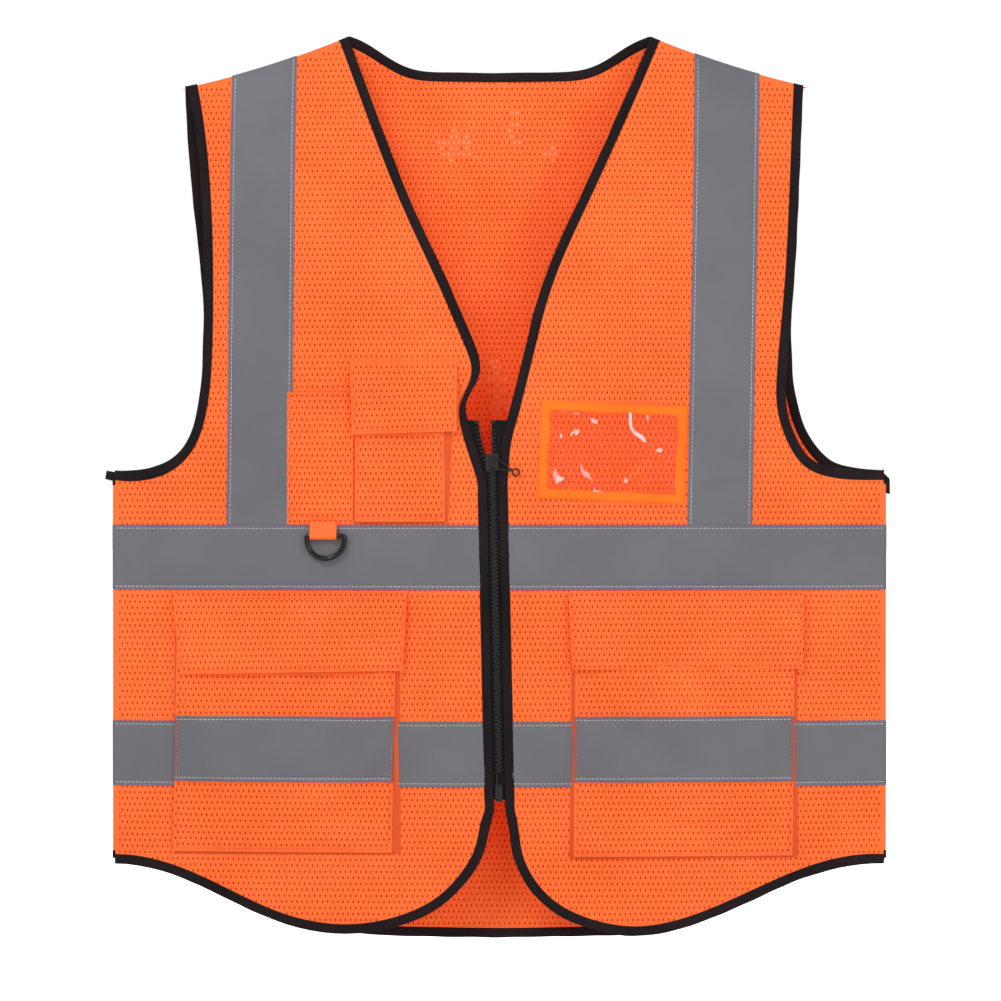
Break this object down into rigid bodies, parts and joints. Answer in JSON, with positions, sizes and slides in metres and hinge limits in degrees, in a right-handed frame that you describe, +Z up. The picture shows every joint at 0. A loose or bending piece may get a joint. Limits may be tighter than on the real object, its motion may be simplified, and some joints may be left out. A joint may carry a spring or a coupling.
{
  "type": "high visibility vest",
  "caption": "Orange mesh safety vest with grey reflective tapes, black bound edges, a front zip, flap pockets, a pen pocket, a clear card window and a D-ring.",
  "frame": {"origin": "on the centre line and the side-seam plane, level with the neck ends of the shoulder seams (the garment trade's high point of shoulder), where a hanger carries the vest", "axes": "+Z up from hem to shoulders, +X to the wearer's left, -Y out through the zipped front"},
  "size_m": [0.5897, 0.0527, 0.691],
  "materials": {
    "mesh": "knitted polyester mesh, fluorescent orange, matt, with small upright oval holes",
    "binding": "black woven polyester bias binding with a soft sheen",
    "reflective_tape": "grey glass-bead reflective tape, satin, sewn near both edges",
    "hook_and_loop": "orange hook-and-loop tape, matt",
    "zip_tape": "black woven zip tape, matt",
    "zip_plastic": "black moulded acetal, slightly glossy",
    "ring_plastic": "black moulded nylon, glossy",
    "zip_metal": "black enamelled zinc and steel wire, semi-gloss with worn edges",
    "id_frame": "orange woven tape, ribbed",
    "vinyl": "clear soft vinyl with gentle ripples and glossy glints"
  },
  "bodies": {
    "back": {"back_panel": "mesh", "back_neck_binding": "binding", "back_hem_binding": "binding", "right_back_armhole_binding": "binding", "left_back_armhole_binding": "binding", "right_back_shoulder_tape": "reflective_tape", "left_back_shoulder_tape": "reflective_tape", "back_upper_tape": "reflective_tape", "back_lower_tape": "reflective_tape"},
    "right_front": {"right_front_panel": "mesh", "right_lower_pocket": "mesh", "right_lower_pocket_gusset": "mesh", "right_front_edge_binding": "binding", "right_front_armhole_binding": "binding", "right_front_shoulder_tape": "reflective_tape", "right_front_upper_tape": "reflective_tape", "right_front_lower_tape": "reflective_tape", "right_lower_pocket_tape": "reflective_tape", "right_lower_pocket_loop_patch": "hook_and_loop", "right_zip_tape": "zip_tape", "right_zip_teeth": "zip_plastic", "right_zip_top_stop": "zip_plastic", "pen_pocket": "mesh", "phone_pocket": "mesh", "phone_pocket_gusset": "mesh", "d_ring_loop": "mesh", "phone_pocket_loop_patch": "hook_and_loop", "zip_insertion_pin": "zip_plastic"},
    "right_flap": {"right_lower_pocket_flap": "mesh", "right_lower_pocket_hook_patch": "hook_and_loop"},
    "left_front": {"left_front_panel": "mesh", "left_lower_pocket": "mesh", "left_lower_pocket_gusset": "mesh", "left_front_edge_binding": "binding", "left_front_armhole_binding": "binding", "left_front_shoulder_tape": "reflective_tape", "left_front_upper_tape": "reflective_tape", "left_front_lower_tape": "reflective_tape", "left_lower_pocket_tape": "reflective_tape", "left_lower_pocket_loop_patch": "hook_and_loop", "left_zip_tape": "zip_tape", "left_zip_teeth": "zip_plastic", "left_zip_top_stop": "zip_plastic", "id_pocket_frame": "id_frame", "id_pocket_window": "vinyl", "zip_retainer_box": "zip_plastic"},
    "left_flap": {"left_lower_pocket_flap": "mesh", "left_lower_pocket_hook_patch": "hook_and_loop"},
    "phone_flap": {"phone_pocket_flap": "mesh", "phone_pocket_hook_patch": "hook_and_loop"},
    "d_ring": {"d_ring": "ring_plastic"},
    "slider": {"zip_slider": "zip_metal"},
    "puller": {"zip_puller": "zip_metal"}
  },
  "joints": [
    {"name": "right_front_opening", "type": "hinge", "parent": "back", "child": "right_front", "pos_m": [-0.2946, 0, -0.481], "axis": [0, 0, -1], "range_deg": [0, 65]},
    {"name": "left_front_opening", "type": "hinge", "parent": "back", "child": "left_front", "pos_m": [0.2946, 0, -0.481], "axis": [0, 0, 1], "range_deg": [0, 30]},
    {"name": "zip_slider_travel", "type": "slide", "parent": "left_front", "child": "slider", "axis": [0.0218, 0, -0.9998], "range_m": [0, 0.2365]},
    {"name": "zip_puller_flip", "type": "hinge", "parent": "slider", "child": "puller", "pos_m": [-0.00556, -0.0302, -0.326], "axis": [-0.3867, 0, -0.9222], "range_deg": [0, 150]},
    {"name": "phone_flap_lift", "type": "hinge", "parent": "right_front", "child": "phone_flap", "pos_m": [-0.07275, -0.03105, -0.24945], "axis": [-0.9991, 0.0434, 0], "range_deg": [0, 130]},
    {"name": "right_flap_lift", "type": "hinge", "parent": "right_front", "child": "right_flap", "pos_m": [-0.1595, -0.0251, -0.42395], "axis": [-0.9955, 0.0942, 0], "range_deg": [0, 130]},
    {"name": "left_flap_lift", "type": "hinge", "parent": "left_front", "child": "left_flap", "pos_m": [0.14205, -0.02666, -0.42395], "axis": [-0.9965, -0.084, 0], "range_deg": [0, 130]},
    {"name": "d_ring_swing", "type": "hinge", "parent": "right_front", "child": "d_ring", "pos_m": [-0.1318, -0.02649, -0.382], "axis": [-0.997, 0.0777, 0], "range_deg": [0, 140]}
  ],
  "couplings": [
    {"joint": "left_front_opening", "follows": "right_front_opening", "ratio": 0.46154},
    {"joint": "zip_slider_travel", "follows": "right_front_opening", "m_per_rad": 0.20803}
  ]
}
